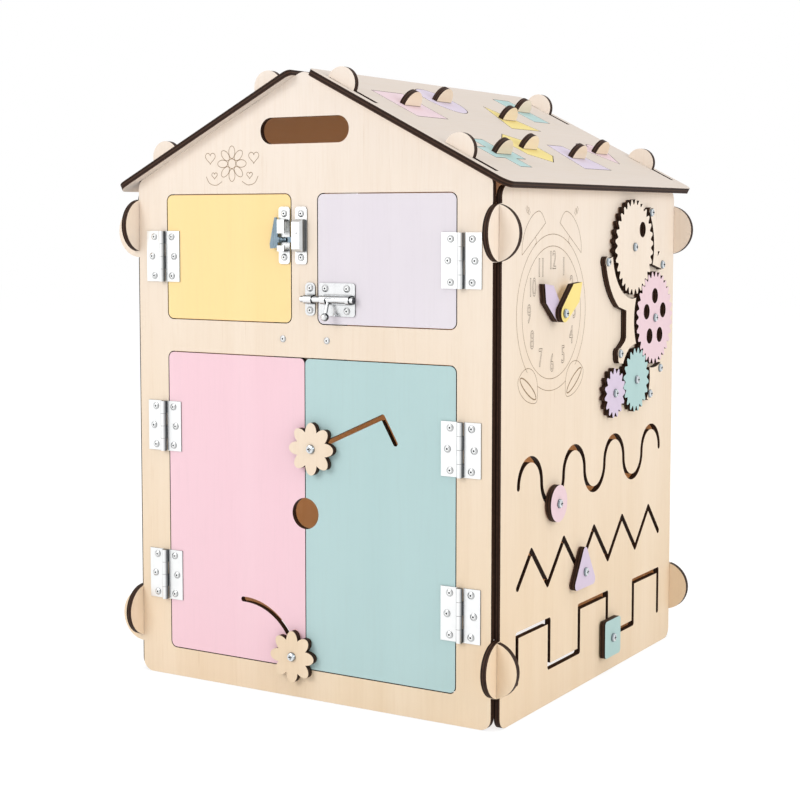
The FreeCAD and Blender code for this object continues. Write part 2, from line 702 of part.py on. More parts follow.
arc_points = [polar(ARC_CENTRE, ARC_R, ARC_START + ARC_SWEEP * share) for share in (0, 0.5, 1)]


def front_cut(face):
    """Tool that cuts a flat shape through a leaf of the front wall."""
    return to_front(plate(face, DEEP), -2 * PLY)


finger_cut = front_cut(disc(FINGER_SPOT, sized("finger_radius")))
slide_cut = front_cut(ribbon([(FLOWER_UP, SLIDE_END), (SLIDE_END, HOOK_END)], PATH))
arc_cut = front_cut(ribbon([tuple(arc_points)], PATH))

pink = rectangle("-door_half + leaf_gap", "-leaf_split / 2", DOOR_LOW, DOOR_HIGH)
teal = rectangle("leaf_split / 2", "door_half - leaf_gap", DOOR_LOW, DOOR_HIGH)
yellow = rectangle("-door_half + leaf_gap", "-window_post / 2 - leaf_gap", "window_sill + leaf_gap",
                   "window_head - leaf_gap")
lilac = rectangle("window_post / 2 + leaf_gap", "door_half - leaf_gap", "window_sill + leaf_gap",
                  "window_head - leaf_gap")
leaf("window_yellow", yellow, yellow, None, LEAF_SPOTS[0] + LATCH_SPOTS, [])
leaf("window_lilac", lilac, lilac, None, LEAF_SPOTS[3] + BOLT_SPOTS, [])
leaf("door_pink", pink, [pink[0], pink[3]], [pink[2]], LEAF_SPOTS[1] + LEAF_SPOTS[2], [finger_cut, arc_cut])
leaf("door_teal", teal, [teal[1], teal[2]], [teal[3]], LEAF_SPOTS[4] + LEAF_SPOTS[5], [finger_cut, slide_cut])


# Hinges

TALL = sized("hinge_tall")
KNUCKLE = TALL / 4
BARREL, PIN = sized("barrel_radius"), sized("pin_radius")
AXIS_Y = FRONT - sized("pin_forward")
LEAF_SHEET = sized("hinge_sheet")


def hinge_half(side, pin_x, level, knuckles):
    """Leaf of a butt hinge: flat sheet, its own knuckles and three rivet holes."""
    reach = sized("hinge_reach")
    low_x = pin_x if side > 0 else pin_x - reach
    sheet_box = Part.makeBox(reach, LEAF_SHEET, TALL, vec(low_x, FRONT - LEAF_SHEET, level - TALL / 2))
    pieces = [sheet_box]
    clear = sized("knuckle_gap") / 2
    room = []
    for index in range(4):
        low = level - TALL / 2 + index * KNUCKLE
        if index in knuckles:
            cut_low = clear if index else 0
            cut_high = clear if index < 3 else 0
            pieces.append(Part.makeCylinder(BARREL, KNUCKLE - cut_low - cut_high, vec(pin_x, AXIS_Y, low + cut_low)))
        else:
            room.append(Part.makeBox(2 * (BARREL + 0.4), 2 * BARREL + 2, KNUCKLE,
                                     vec(pin_x - BARREL - 0.4, AXIS_Y - BARREL - 1, low)))
    shape = pieces[0].multiFuse(pieces[1:])
    shape = shape.cut(Part.makeCompound(room))
    bore = Part.makeCylinder(PIN + GAP, TALL + 2, vec(pin_x, AXIS_Y, level - TALL / 2 - 1))
    spots = hinge_spots(pin_x, level, side)
    holes = [Part.makeCylinder(sized("rivet_radius") + 0.05, 20, vec(x, FRONT - 10, z), vec(0, 1, 0)) for x, z in spots]
    return shape.cut(Part.makeCompound([bore] + holes)).removeSplitter()


OUTER_KNUCKLES, INNER_KNUCKLES = (0, 2), (1, 3)
frame_halves = [hinge_half(side, x, z, OUTER_KNUCKLES) for side, x, z in HINGES]
keep(solid_feature("FrameHinges", Part.makeCompound(frame_halves)), "hinge_frame_leaves")
pins = [Part.makeCylinder(PIN, TALL, vec(x, AXIS_Y, z - TALL / 2)) for side, x, z in HINGES]
keep(solid_feature("HingePins", Part.makeCompound(pins)), "hinge_pins")
leaf_halves = [hinge_half(-side, x, z, INNER_KNUCKLES) for side, x, z in HINGES]
for label, members in (("hinge_leaf_yellow", [0]), ("hinge_leaves_pink", [1, 2]), ("hinge_leaf_lilac", [3]),
                       ("hinge_leaves_teal", [4, 5])):
    keep(solid_feature(label, Part.makeCompound([leaf_halves[i] for i in members])), label)


# Blind rivets


def rivet(x, z, sheet_under, behind):
    """Blind rivet: flanged head with its open mandrel hole, shank and tail bulb."""
    radius, head, rise = sized("rivet_radius"), sized("rivet_head"), sized("rivet_rise")
    tail, hole = sized("rivet_tail"), sized("mandrel_radius")
    grip = sheet_under + PLY + behind
    profile = [(hole, -rise), (head * 0.6, -rise), (head, -rise * 0.35), (head, 0), (radius, 0), (radius, grip),
               (tail, grip), (tail, grip + 2.0), (0, grip + 2.6), (0, grip * 0.4), (hole, grip * 0.4), (hole, -rise)]
    wire = Part.makePolygon([vec(r, h) for r, h in profile])
    turned = Part.Face(wire).revolve(vec(0, 0), vec(0, 1, 0), 360)
    turned.Placement = FreeCAD.Placement(vec(x, FRONT - sheet_under, z), FreeCAD.Rotation())
    return turned


def rivets(label, rows):
    """One body's rivets, from rows of spots, metal under the head and wood behind the wall."""
    pieces = [rivet(x, z, under, behind) for spots, under, behind in rows for x, z in spots]
    keep(solid_feature(label, Part.makeCompound(pieces)), label)


METAL = sized("metal_sheet")
rivets("rivets_frame", [(FRAME_SPOTS, LEAF_SHEET, 0), (KEEPER_SPOTS + BOLT_KEEPER_SPOTS, METAL, 0),
                        (STOP_SPOTS, 0, PLY)])
rivets("rivets_yellow", [(LEAF_SPOTS[0], LEAF_SHEET, 0), (LATCH_SPOTS, METAL, 0)])
rivets("rivets_pink", [(LEAF_SPOTS[1] + LEAF_SPOTS[2], LEAF_SHEET, 0)])
rivets("rivets_lilac", [(LEAF_SPOTS[3], LEAF_SHEET, 0), (BOLT_SPOTS, METAL, 0)])
rivets("rivets_teal", [(LEAF_SPOTS[4] + LEAF_SPOTS[5], LEAF_SHEET, 0)])


# Door stop behind the front wall

stop = Part.makeBox(2 * sized("stop_half"), PLY, sized("stop_height"),
                    vec(-sized("stop_half"), FRONT + PLY, sized("stop_level") - sized("stop_height") / 2))
stop = stop.cut(Part.makeCompound([Part.makeCylinder(sized("rivet_radius") + 0.15, 20, vec(x, FRONT, z), vec(0, 1, 0))
                                   for x, z in STOP_SPOTS]))
keep(solid_feature("DoorStop", stop), "door_stop")


# Hook latch and its keeper


def drilled(shape, spots):
    holes = [Part.makeCylinder(sized("rivet_radius") + 0.05, 30, vec(x, FRONT - 15, z), vec(0, 1, 0)) for x, z in spots]
    return shape.cut(Part.makeCompound(holes))


def flat_sheet(x, z, width, height, rounding):
    """Rounded metal plate on the face of the front wall."""
    body = Part.makeBox(width, METAL, height, vec(x - width / 2, FRONT - METAL, z - height / 2))
    upright = [edge for edge in body.Edges if abs(edge.tangentAt(edge.FirstParameter).y) > 0.99]
    return body.makeFillet(rounding, upright)


HEIGHT = sized("latch_height")
LATCH_Y = FRONT - METAL - 3.2
latch = flat_sheet(LATCH_X, LATCH_Z, sized("latch_width"), HEIGHT, 3.0)
sleeve = Part.makeBox(8.0, 7.0, 30.0, vec(LATCH_X - 3.5, FRONT - METAL - 7.0, LATCH_Z - 15.0))
sleeve = sleeve.cut(Part.makeBox(10.0, 5.8, 27.6, vec(LATCH_X - 4.5, FRONT - METAL - 5.8, LATCH_Z - 13.8)))
sleeve = sleeve.cut(Part.makeBox(10.0, 3.0, 11.5, vec(LATCH_X - 4.5, FRONT - METAL - 8.0, LATCH_Z - 9.5)))
latch = latch.fuse(sleeve)
keep(solid_feature("LatchPlate", drilled(latch.removeSplitter(), LATCH_SPOTS)), "latch_plate")

tongue = Part.makeBox(22.0, 1.6, 5.0, vec(LATCH_X - 6.5, LATCH_Y - 0.8, LATCH_Z - 6.5))
coil = [(-3.0, 0.0)]
for turn in range(6):
    coil += [(-3.0 + turn * 1.5, 2.0), (-2.4 + turn * 1.5, 2.5), (-1.8 + turn * 1.5, 2.5), (-1.5 + turn * 1.5, 2.0)]
coil += [(6.0, 0.0), (-3.0, 0.0)]
spring = Part.Face(Part.makePolygon([vec(x, y) for x, y in coil])).revolve(vec(0, 0), vec(1, 0, 0), 360)
spring.translate(vec(LATCH_X, LATCH_Y, LATCH_Z - 4.0))
flag = [(-5.0, 6.0), (-5.0, -11.5), (-13.5, -12.5), (-14.0, -8.0), (-8.5, 17.0), (-6.0, 17.0)]
flag = to_front(plate(polygon((LATCH_X, LATCH_Z), flag), 1.6), FRONT - LATCH_Y - 0.8)
keep(solid_feature("LatchTongue", tongue.multiFuse([spring, flag]).removeSplitter()), "latch_tongue")

keeper = flat_sheet(KEEPER_X, LATCH_Z, sized("keeper_width"), HEIGHT, 3.0)
arch_left, arch_face = KEEPER_X - 6.3, FRONT - METAL - 7.0
arch = Part.makeBox(11.3, 7.0, 30.0, vec(arch_left, arch_face, LATCH_Z - 15.0))
outer_rim = [e for e in arch.Edges if abs(e.CenterOfMass.y - arch_face) < 0.01 and e.CenterOfMass.x > arch_left + 0.1]
arch = arch.makeChamfer(2.2, outer_rim)
arch = arch.cut(Part.makeBox(8.0, 5.6, 25.0, vec(arch_left - 0.1, arch_face + 1.4, LATCH_Z - 12.5)))
arch = arch.cut(Part.makeCylinder(0.8, 4.0, vec(KEEPER_X - 0.5, arch_face - 1, LATCH_Z + 2.0), vec(0, 1, 0)))
keeper = keeper.fuse(arch).removeSplitter()
keep(solid_feature("LatchKeeper", drilled(keeper, KEEPER_SPOTS)), "latch_keeper")


# Barrel bolt and its keeper

ROD = sized("bolt_rod")
WALL = sized("strap_wall")
BOLT_Y = FRONT - METAL - sized("bolt_forward") + 1.2


def strap(x_low, length):
    """Round strap that the rod slides in."""
    tube = Part.makeCylinder(ROD + WALL, length, vec(x_low, BOLT_Y, BOLT_Z), vec(1, 0, 0))
    foot = Part.makeBox(length, FRONT - METAL - BOLT_Y, 2 * (ROD + WALL), vec(x_low, BOLT_Y, BOLT_Z - ROD - WALL))
    return tube.fuse(foot)


bore = Part.makeCylinder(ROD + GAP, 120, vec(-30, BOLT_Y, BOLT_Z), vec(1, 0, 0))
KNOB_X = BOLT_X + 13.0
DOWN = vec(0, -0.351, -0.936)
STALK = 1.6
knob_slot = Part.makeBox(sized("bolt_throw") + 2 * STALK + 1, 10.0, 10.0,
                         vec(KNOB_X - STALK - 0.5, BOLT_Y + 0.5 - 10.0, BOLT_Z + 1.6 - 10.0))
bolt_plate = flat_sheet(BOLT_X + sized("bolt_width") / 2, BOLT_Z, sized("bolt_width"), sized("bolt_height"), 2.5)
bolt_plate = bolt_plate.fuse(strap(BOLT_X + 5.0, 32.0)).cut(bore).cut(knob_slot).removeSplitter()
keep(solid_feature("BoltPlate", drilled(bolt_plate, BOLT_SPOTS)), "bolt_plate")
bolt_keeper = flat_sheet(7.0, BOLT_Z, 11.0, sized("bolt_height"), 4.0)
bolt_keeper = bolt_keeper.fuse(strap(3.5, 9.0)).cut(bore).removeSplitter()
keep(solid_feature("BoltKeeper", drilled(bolt_keeper, BOLT_KEEPER_SPOTS)), "bolt_keeper")
rod_shape = Part.makeCylinder(ROD, sized("bolt_length"), vec(-0.5, BOLT_Y, BOLT_Z), vec(1, 0, 0))
stalk = Part.makeCylinder(STALK, 15.0, vec(KNOB_X, BOLT_Y, BOLT_Z), DOWN)
ball = Part.makeSphere(3.8, vec(KNOB_X, BOLT_Y, BOLT_Z) + DOWN * 17.0)
keep(solid_feature("BoltRod", rod_shape.multiFuse([stalk, ball]).removeSplitter()), "bolt_rod")


# Screws, washers and nuts, drawn flat with height off the wall's face

SHANK, HEAD, RISE = sized("screw_radius"), sized("screw_head"), sized("screw_rise")
WASHER = 1.2
BACK = -PLY - GAP
PIVOT = SHANK + sized("hole_play")


def pan_screw(spot, off):
    """Pan head screw whose head sits at a height off the wall, with a cross recess."""
    low = BACK - WASHER - sized("nut_rise") - 1.0
    profile = [(0, off + RISE), (HEAD * 0.5, off + RISE), (HEAD * 0.85, off + RISE * 0.78), (HEAD, off + RISE * 0.3),
               (HEAD, off), (SHANK, off), (SHANK, low), (0, low), (0, off + RISE)]
    screw = Part.Face(Part.makePolygon([vec(r, 0, h) for r, h in profile])).revolve(vec(0, 0), vec(0, 0, 1), 360)
    recess = Part.makeCompound([Part.makeBox(4.6, 1.1, 2, vec(-2.3, -0.55, off + RISE - 1.4)),
                                Part.makeBox(1.1, 4.6, 2, vec(-0.55, -2.3, off + RISE - 1.4))])
    screw = screw.cut(recess)
    screw.translate(vec(*spot))
    return screw


def ring(spot, outer, inner, low, high):
    return plate_at(disc(spot, outer).cut(disc(spot, inner)), low, high)


def plate_at(face, low, high):
    body = plate(face, high - low)
    body.translate(vec(0, 0, low))
    return body


def nut(spot, low):
    return plate_at(ngon(spot, sized("nut_radius"), 6).cut(disc(spot, SHANK + 0.05)), low - sized("nut_rise"), low)


def screw_set(spot, off, washer):
    """Screw with the washer and nut behind the wall."""
    return [pan_screw(spot, off), ring(spot, washer, SHANK + 0.05, BACK - WASHER, BACK), nut(spot, BACK - WASHER)]


def place(label, pieces, turn):
    keep(solid_feature(label + "_form", turn(Part.makeCompound(pieces), 0)), label)


LOW, TOP = SHEET_OFF, SHEET_OFF + PLY


# Flowers of the doors


def flower(spot):
    oval = Part.Ellipse(vec(sized("flower_ring"), 0), sized("petal_long"), sized("petal_wide")).toShape()
    petals = []
    for index in range(8):
        petal = Part.Face(Part.Wire(oval))
        petal.rotate(vec(0, 0), vec(0, 0, 1), 45 * index)
        petals.append(shifted(petal, spot))
    whole = disc(spot, sized("flower_hub")).multiFuse(petals).removeSplitter()
    return whole.cut(disc(spot, PIVOT))


for label, spot in (("flower_low", FLOWER_LOW), ("flower_up", FLOWER_UP)):
    place(label, [plate_at(flower(spot), LOW, TOP)], to_front)
    place(label + "_screw", screw_set(spot, TOP + GAP, 7.0), to_front)


# Gears


def gear_face(name, phase):
    """Wheel outline with stubby straight-sided teeth, its pivot hole and its finger holes."""
    teeth, centre = TEETH[name], GEAR_CENTRE[name]
    pitch, tip = pitch_radius(name), TIP[name]
    root = pitch - sized("gear_dedendum")
    half = MODULE * math.pi / 4 - sized("gear_play") / 2
    slant = math.tan(math.radians(sized("flank_angle")))
    low = half + (pitch - root - 0.7) * slant
    high = half - (tip - 0.6 - pitch) * slant
    flank = [(root, low + 0.45), (root + 0.7, low), (pitch, half), (tip - 0.6, high), (tip, high - 0.65)]
    flank = [(radius, width / radius) for radius, width in flank]
    points = []
    for index in range(teeth):
        middle = math.radians(phase) + 2 * math.pi * index / teeth
        for radius, turn in flank:
            points.append((radius, middle - turn))
        for radius, turn in reversed(flank):
            points.append((radius, middle + turn))
    spots = [vec(centre[0] + r * math.cos(a), centre[1] + r * math.sin(a)) for r, a in points]
    return Part.Face(Part.makePolygon(spots + spots[:1])).cut(disc(centre, PIVOT))


def meshed(first, second, direction, phase):
    """Angle of a tooth of the second gear that meshes with the first at a direction."""
    share = (direction - phase) / (360.0 / TEETH[first]) % 1
    return direction + 180 + share * 360.0 / TEETH[second] + 180.0 / TEETH[second]


PHASE = {"gear_pink": 3.0}
PHASE["gear_cream"] = meshed("gear_pink", "gear_cream", CREAM_WAY, PHASE["gear_pink"])
PHASE["gear_teal"] = meshed("gear_pink", "gear_teal", TEAL_WAY, PHASE["gear_pink"])
PHASE["gear_lilac"] = meshed("gear_teal", "gear_lilac", LILAC_WAY, PHASE["gear_teal"])
FINGER_HOLES = {name: [] for name in TEETH}
FINGER_HOLES["gear_pink"] = [polar(PINK, 23.0, 18 + 72 * index) for index in range(5)]
FINGER_HOLES["gear_cream"] = [(CREAM[0] + 20.4, CREAM[1] + 17.6)]
for name in TEETH:
    face = gear_face(name, PHASE[name])
    for spot in FINGER_HOLES[name]:
        face = face.cut(disc(spot, sized("finger_hole")))
    place(name, [plate_at(face, LOW, TOP)], to_side)


# Gear guards


def guard(label, outline, rounds, away, spots):
    """Curved strip beside the gears: an outline with round ends, kept clear of the gears."""
    face = polygon((0, 0), outline).multiFuse([disc(spot, radius) for spot, radius in rounds])
    for name, clear in away:
        face = face.cut(disc(GEAR_CENTRE[name], TIP[name] + clear))
    for spot in spots:
        face = face.cut(disc(spot, PIVOT))
    largest = max(face.removeSplitter().Faces, key=lambda item: item.Area)
    place(label, [plate(largest, PLY)], to_side)


G = sized("guard_gap")
top_strip = [polar(CREAM, 64.5, degrees) for degrees in range(38, -12, -8)]
guard("guard_top", [polar(CREAM, 48.0, 38)] + top_strip
      + [(147.0, 425.0), (155.0, 417.0), (158.8, 411.5), (156.2, 405.6), (128.2, 411.5), (122.0, 418.0)],
      [(TOP_GUARD[0], 5.2), (TOP_GUARD[1], 5.2)],
      [("gear_cream", sized("top_guard_gap")), ("gear_pink", G)], TOP_GUARD)
left_strip = [polar(CREAM, 69.5, degrees) for degrees in range(190, 246, 7)]
guard("guard_left", [polar(CREAM, 48.0, 190)] + left_strip
      + [(60.8, 366.5), (60.8, 339.0), (58.6, 335.7), (52.4, 332.0), (45.0, 328.0), (41.2, 323.0), (42.0, 317.0),
         (44.1, 314.0), (80.0, 310.0), (90.0, 330.0), (90.0, 400.0)],
      [(LEFT_GUARD[0], 5.5), (LEFT_GUARD[1], 5.5)],
      [("gear_cream", G), ("gear_pink", G), ("gear_teal", G), ("gear_lilac", G)], LEFT_GUARD)
guard("guard_low", [(112.0, 312.0), (153.0, 308.0), (156.5, 301.0), (151.5, 295.7), (143.0, 290.0), (134.0, 279.5),
                    (128.0, 271.5), (121.0, 269.5), (116.0, 272.0), (108.0, 280.0)],
      [(LOW_GUARD[0], 5.2), (LOW_GUARD[1], 5.2)], [("gear_pink", G), ("gear_teal", G + 1)], LOW_GUARD)


# Clock hands


def hand(length, degrees):
    """Broad pointed hand with a round hub."""
    half, hub = sized("hand_width"), sized("hand_hub")
    shoulder = length * 0.65
    outline = polygon((0, 0), [(0, -hub), (shoulder, -half), (length, 0), (shoulder, half), (0, hub)])
    face = outline.fuse(disc((0, 0), hub)).removeSplitter().cut(disc((0, 0), PIVOT))
    face.rotate(vec(0, 0), vec(0, 0, 1), degrees)
    face.translate(vec(*CLOCK))
    return face


place("hand_hour", [plate_at(hand(sized("hour_length"), 136.5), LOW, TOP)], to_side)
place("hand_minute", [plate_at(hand(sized("minute_length"), 37.0), TOP + 0.5, TOP + 0.5 + PLY)], to_side)

fixed_screws = [(spot, TOP + GAP) for spot in GEAR_CENTRE.values()]
fixed_screws += [(CLOCK, TOP + 0.5 + PLY + GAP)] + [(spot, PLY) for spot in GUARD_SPOTS]
place("wall_screws", [pan_screw(spot, off) for spot, off in fixed_screws], to_side)
place("wall_nuts", [nut(spot, -PLY) for spot, off in fixed_screws], to_side)
spacers = [ring(spot, sized("washer_radius"), SHANK + 0.05, 0, SHEET_OFF - 0.1)
           for spot in list(GEAR_CENTRE.values()) + [CLOCK]]
place("wall_washers", spacers, to_side)


# Sliders of the side wall


def rounded(points, radius):
    """Flat polygon with round corners."""
    body = plate(polygon((0, 0), points), 1)
    upright = [edge for edge in body.Edges if abs(edge.tangentAt(edge.FirstParameter).z) > 0.99]
    solid = body.makeFillet(radius, upright)
    return [face for face in solid.Faces if face.normalAt(0, 0).z < -0.9][0]


DISC_SPOT = (WAVE_START + 3 * WAVE_R, WAVE_Z - WAVE_R)
TRIANGLE_SPOT = (-ZIG, ZIG_Z - ZIG_HALF)
SQUARE_SPOT = (SQUARE / 2, SQUARE_LOW)
half_side = sized("slider_side") / 2
box_points = [(-half_side, -half_side), (half_side, -half_side), (half_side, half_side), (-half_side, half_side)]
sliders = {"slider_disc": (DISC_SPOT, disc((0, 0), sized("slider_disc"))),
           "slider_triangle": (TRIANGLE_SPOT, rounded([(-27.0, -15.5), (27.0, -15.5), (0.0, 29.0)], 5.0)),
           "slider_square": (SQUARE_SPOT, rounded(box_points, sized("slider_round")))}
for label, (spot, face) in sliders.items():
    place(label, [plate_at(shifted(face, spot).cut(disc(spot, PIVOT)), LOW, TOP)], to_side)
    place(label + "_screw", screw_set(spot, TOP + GAP, sized("nut_plate")), to_side)


# Checks and files

doc.recompute()
for item in doc.Objects:
    if "Invalid" in item.State or "Error" in item.State:
        raise RuntimeError(f"{item.Label} failed: {item.State}")
for piece in PARTS:
    if piece.Shape.isNull() or not piece.Shape.isValid():
        raise RuntimeError(f"{piece.Label} has no valid shape")

os.makedirs("parts", exist_ok=True)
for piece in PARTS:
    piece.Shape.exportStep(f"parts/{piece.Label}.step")
    print(piece.Label, len(piece.Shape.Solids), round(piece.Shape.Volume))
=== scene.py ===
"""Looks of a plywood busy board in the shape of a toy house: birch plywood cut by laser,
painted leaves, zinced hinges and latches, engraved clock, white studio."""
import bpy
import bmesh
import math
from mathutils import Matrix, Vector


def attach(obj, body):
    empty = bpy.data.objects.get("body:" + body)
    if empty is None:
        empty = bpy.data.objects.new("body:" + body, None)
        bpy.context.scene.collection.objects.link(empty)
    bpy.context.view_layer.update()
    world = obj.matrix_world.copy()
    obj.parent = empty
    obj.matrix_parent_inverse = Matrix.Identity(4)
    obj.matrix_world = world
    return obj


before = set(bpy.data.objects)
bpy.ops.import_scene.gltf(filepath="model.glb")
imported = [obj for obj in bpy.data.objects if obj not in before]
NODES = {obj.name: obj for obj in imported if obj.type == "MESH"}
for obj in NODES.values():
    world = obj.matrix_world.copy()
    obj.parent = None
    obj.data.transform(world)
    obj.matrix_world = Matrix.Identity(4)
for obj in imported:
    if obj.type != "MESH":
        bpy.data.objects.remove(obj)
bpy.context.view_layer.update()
MM = 0.001

# Outer faces of the front and right walls, in millimetres
FRONT = -206.0
RIGHT = 206.0
ROOF_PITCH = math.radians(27.0)

# Directions that the boards face
FRONT_WAY = (0.0, 1.0, 0.0)
SIDE_WAY = (1.0, 0.0, 0.0)
UPWARD = (0.0, 0.0, 1.0)
SLOPE = (math.sin(ROOF_PITCH), 0.0, math.cos(ROOF_PITCH))
SLOPE_LEFT = (-SLOPE[0], 0.0, SLOPE[2])
DOWN_SLOPE = (math.cos(ROOF_PITCH), 0.0, -math.sin(ROOF_PITCH))


# Shader helpers

# Wood, thin paint and paper
MATT_IOR = 1.45


def linear(code):
    """Turns an sRGB hex colour into the linear RGBA that shaders take."""
    parts = [int(code[i:i + 2], 16) / 255 for i in (1, 3, 5)]
    return tuple(p / 12.92 if p <= 0.04045 else ((p + 0.055) / 1.055) ** 2.4 for p in parts) + (1.0,)


def node(tree, kind, feeds=None, **settings):
    """Adds one shader node with its settings. Each socket in feeds is linked or gets a value."""
    made = tree.nodes.new(kind)
    for key, value in settings.items():
        setattr(made, key, value)
    for socket, value in (feeds or {}).items():
        if isinstance(value, bpy.types.NodeSocket):
            tree.links.new(value, made.inputs[socket])
        else:
            made.inputs[socket].default_value = value
    return made


def new_material(name, roughness, metallic=0.0):
    """Empty material, and the shader that its finish is set on."""
    material = bpy.data.materials.new(name)
    material.use_nodes = True
    tree = material.node_tree
    shader = tree.nodes["Principled BSDF"]
    shader.inputs["Roughness"].default_value = roughness
    shader.inputs["Metallic"].default_value = metallic
    if not metallic:
        shader.inputs["IOR"].default_value = MATT_IOR
    return material, tree, shader


def mottle(tree, size, run=(1, 1, 1), detail=3.0, roughness=0.55):
    """Uneven pattern with its swells about size millimetres apart, and further apart along a run."""
    coords = node(tree, "ShaderNodeTexCoord")
    place = node(tree, "ShaderNodeMapping", {"Vector": coords.outputs["Object"], "Scale": run})
    pattern = node(tree, "ShaderNodeTexNoise", {"Vector": place.outputs[0], "Scale": 1 / (size * MM),
                                                "Detail": detail, "Roughness": roughness})
    return pattern.outputs["Fac"]


def along_axis(tree, output, axis):
    """How far a point or a normal reaches along one direction."""
    coords = node(tree, "ShaderNodeTexCoord")
    dot = node(tree, "ShaderNodeVectorMath", {0: coords.outputs[output], 1: axis}, operation="DOT_PRODUCT")
    return dot.outputs["Value"]


def squareness(tree, way):
    """1 where a surface looks straight along a direction or against it, 0 where it stands edge on."""
    return node(tree, "ShaderNodeMath", {0: along_axis(tree, "Normal", way)}, operation="ABSOLUTE").outputs[0]


def laid_over(tree, base, top, pattern, low, high, most=1.0):
    """One colour over another: none of it where the pattern is low, the most of it where it is high."""
    amount = node(tree, "ShaderNodeMapRange", {"Value": pattern, "From Min": low, "From Max": high,
                                               "To Min": 0.0, "To Max": most})
    mix = node(tree, "ShaderNodeMix", {0: amount.outputs[0], 6: base, 7: top}, data_type="RGBA")
    return mix.outputs[2]


# Plywood

# A pixel of the render is about 1 mm on the house, so finer patterns than that don't show.
# Swells of the figure, and of the smaller figure on the grips, in millimetres
FIGURE_SIZE = 38.4615
GRIP_FIGURE_SIZE = 16.6667
# Grain lines are finer in real birch, and are drawn two pixels apart so that they show
GRAIN_SIZE = 2.38095
# Pores are about a tenth of a millimetre in real birch, and are drawn a pixel apart so that they show
PORE_SIZE = 1.11111
# Patches of soot on a burnt edge
SOOT_SIZE = 3.84615
# Two plies of the 6 mm board
PLY_PAIR = 2.8
# The figure runs twenty times as far along the grain as across it, and a pore fifty times
GRAIN_RUN = {"y": (1.0, 0.05, 1.0), "z": (1.0, 1.0, 0.05)}
PORE_RUN = {"y": (1.0, 0.02, 1.0), "z": (1.0, 1.0, 0.02)}
# Sanded bare wood hardly shines
SANDED_SHINE = 0.15
SANDED_ROUGHNESS = 0.58
# Squareness at which a surface passes from sawn edge to face
EDGE_TO_FACE = (0.90, 0.96)
# Heights in metres between which the wood turns paler, and by how much at most: painted light, brighter
# towards the top
PAINTED_TOP_LIGHT = (0.10, 0.60, 0.75)
# Greyer, darker tones for the roof boards: painted shade of the same birch, as the roof gets less light
SHADED_ROOF_TONES = {"tone": "#D9CDC2", "deep": "#D0C4B6", "high": "#DACFC6"}


def burnt_edge(tree, way):
    """Laser-burnt edge: dark brown, with the plies as paler and darker bands along it."""
    depth = along_axis(tree, "Object", way)
    band = node(tree, "ShaderNodeMath", {0: depth, 1: math.tau / (PLY_PAIR * MM)}, operation="MULTIPLY")
    wave = node(tree, "ShaderNodeMath", {0: band.outputs[0]}, operation="SINE").outputs[0]
    plies = laid_over(tree, linear("#241710"), linear("#4A3226"), wave, -0.6, 0.8)
    return laid_over(tree, plies, linear("#1E130D"), mottle(tree, SOOT_SIZE), 0.35, 0.75, 0.5)


# The high tone is painted light: bare wood turns to it towards the top
def plywood(name, way, along, paint=None, tone="#EFDBC1", deep="#E8D1B3", high="#F2E9E2"):
    """Rotary-cut birch plywood, sanded, then left clear or thinly painted. The eye sees a pale satin
    face with a faint figure and fine pores drawn out along the grain, and dark burnt edges."""
    material, tree, shader = new_material(name, SANDED_ROUGHNESS)
    shader.inputs["Specular IOR Level"].default_value = SANDED_SHINE
    figure = mottle(tree, FIGURE_SIZE, GRAIN_RUN[along], 4.0)
    fine = mottle(tree, GRAIN_SIZE, GRAIN_RUN[along], 3.0, 0.6)
    if paint:
        wood = laid_over(tree, linear(paint[0]), linear(paint[1]), figure, 0.3, 0.7, 0.45)
        wood = laid_over(tree, wood, linear("#9A8C84"), fine, 0.5, 0.85, 0.05)
    else:
        pores = mottle(tree, PORE_SIZE, PORE_RUN[along], 2.0)
        wood = laid_over(tree, linear(tone), linear(deep), figure, 0.30, 0.70)
        # Painted light: the bare wood turns paler towards the top
        wood = laid_over(tree, wood, linear(high), along_axis(tree, "Object", UPWARD), *PAINTED_TOP_LIGHT)
        wood = laid_over(tree, wood, linear("#CDAE86"), fine, 0.45, 0.80, 0.12)
        wood = laid_over(tree, wood, linear("#BE9A70"), pores, 0.68, 0.80, 0.30)
    colour = laid_over(tree, burnt_edge(tree, way), wood, squareness(tree, way), *EDGE_TO_FACE)
    tree.links.new(colour, shader.inputs["Base Color"])
    bump = node(tree, "ShaderNodeBump", {"Height": fine, "Strength": 0.10, "Distance": 0.0002})
    tree.links.new(bump.outputs[0], shader.inputs["Normal"])
    return material


# Thin paint that lets the figure show: its tint, and its tint over the darker figure
PAINT = {
    "yellow": ("#FCDFA2", "#F9D896"),
    "lilac": ("#E4DEE4", "#DED6DF"),
    "pink": ("#F2CED7", "#EEC6D0"),
    "teal": ("#B7D2D2", "#AFCBCB"),
    "bright_yellow": ("#F6E08F", "#F2D980"),
    "gear_lilac": ("#D9CADD", "#D2C2D7"),
    "gear_pink": ("#EACFD5", "#E5C7CE"),
    "gear_teal": ("#B5D2D0", "#ABCAC8"),
    "sorter_pink": ("#E6CFD6", "#E0C7CF"),
    "sorter_lilac": ("#D8CDDD", "#D1C5D7"),
    "sorter_yellow": ("#EBD98F", "#E6D283"),
    "sorter_teal": ("#B4D0CF", "#ABC8C7"),
}

boards = {}


def board(place, way, along, paint=None, **tones):
    """The plywood of one place and paint, made once and shared by its pieces."""
    name = f"birch_plywood_{place}" + (f"_painted_{paint}" if paint else "")
    if name not in boards:
        boards[name] = plywood(name, way, along, PAINT.get(paint), **tones)
    return boards[name]


